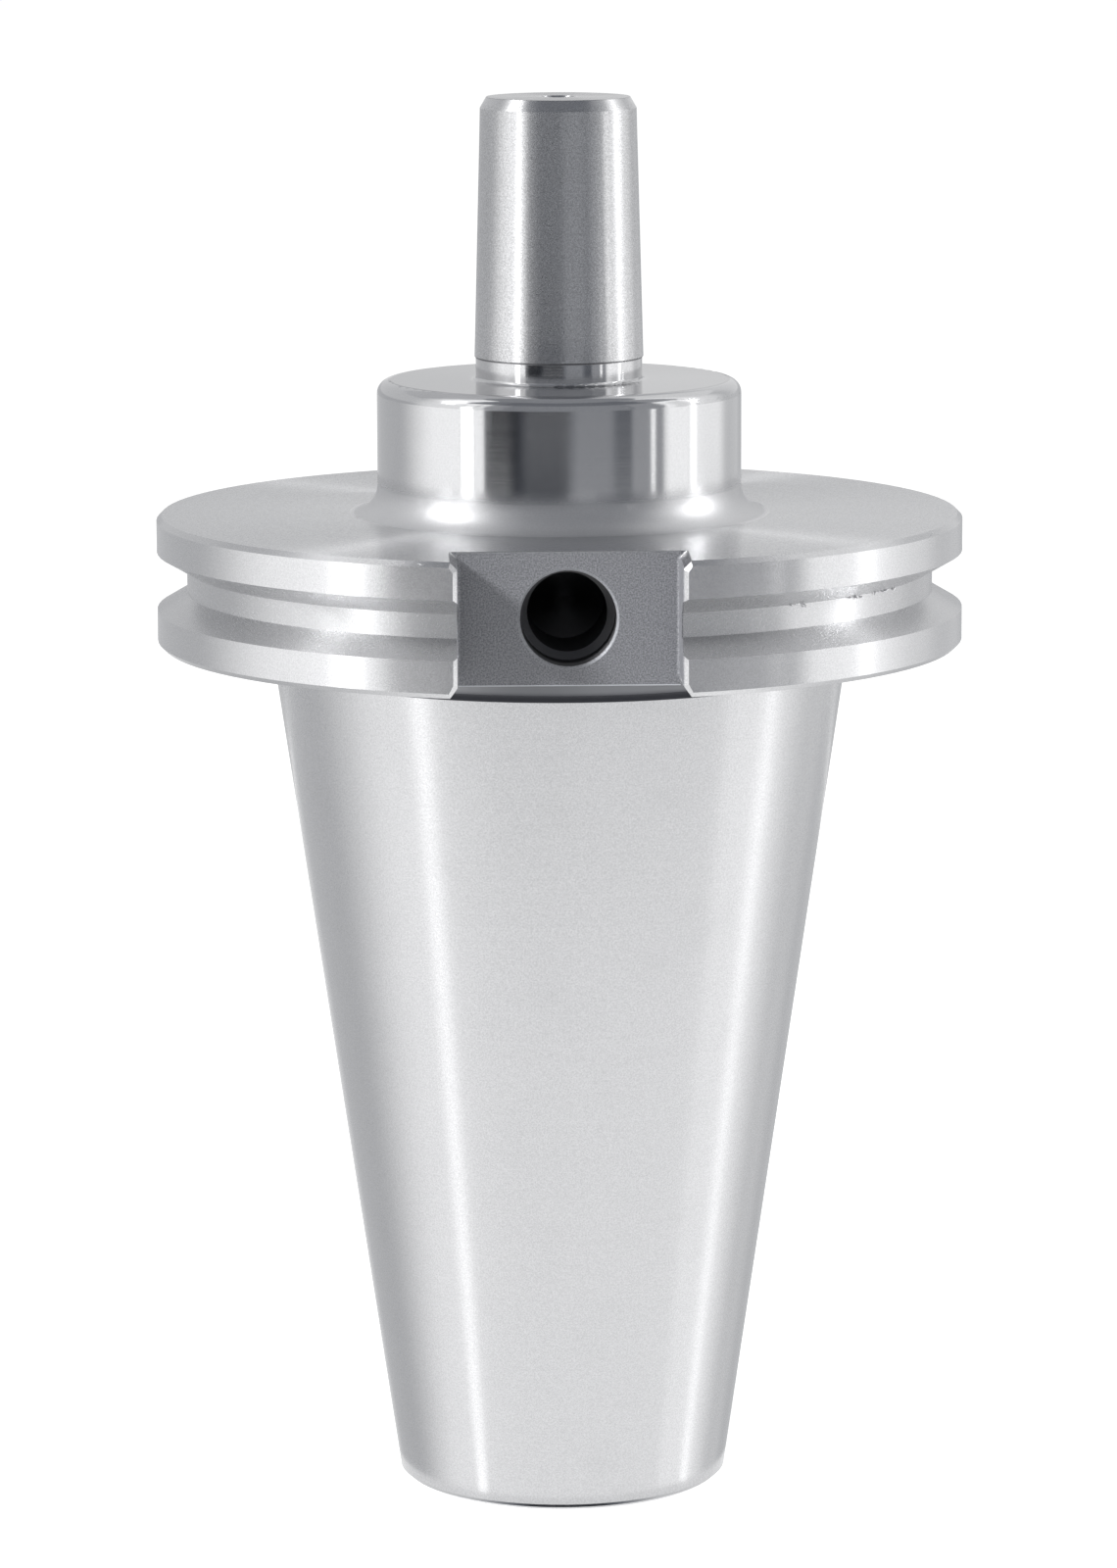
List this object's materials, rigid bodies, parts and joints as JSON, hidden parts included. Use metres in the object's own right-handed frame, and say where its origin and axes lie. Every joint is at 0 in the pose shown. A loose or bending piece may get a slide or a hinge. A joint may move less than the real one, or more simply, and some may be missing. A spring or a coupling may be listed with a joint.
{
  "type": "drill chuck taper arbor",
  "caption": "One-piece steel arbor with a steep taper shank, a grooved flange with two key slots, a round boss and a slim chuck taper.",
  "frame": {"origin": "centre of the small end's face, on the axis", "axes": "+Z along the axis from the small end to the chuck taper; the shallower key slot, with the balance hole, faces -Y"},
  "size_m": [0.0984, 0.0946, 0.1711],
  "materials": {
    "ground_steel": "hardened steel, ground tapers and lands, turned flange face and boss, milled slot floors"
  },
  "bodies": {
    "root": {"arbor": "ground_steel"}
  },
  "joints": []
}
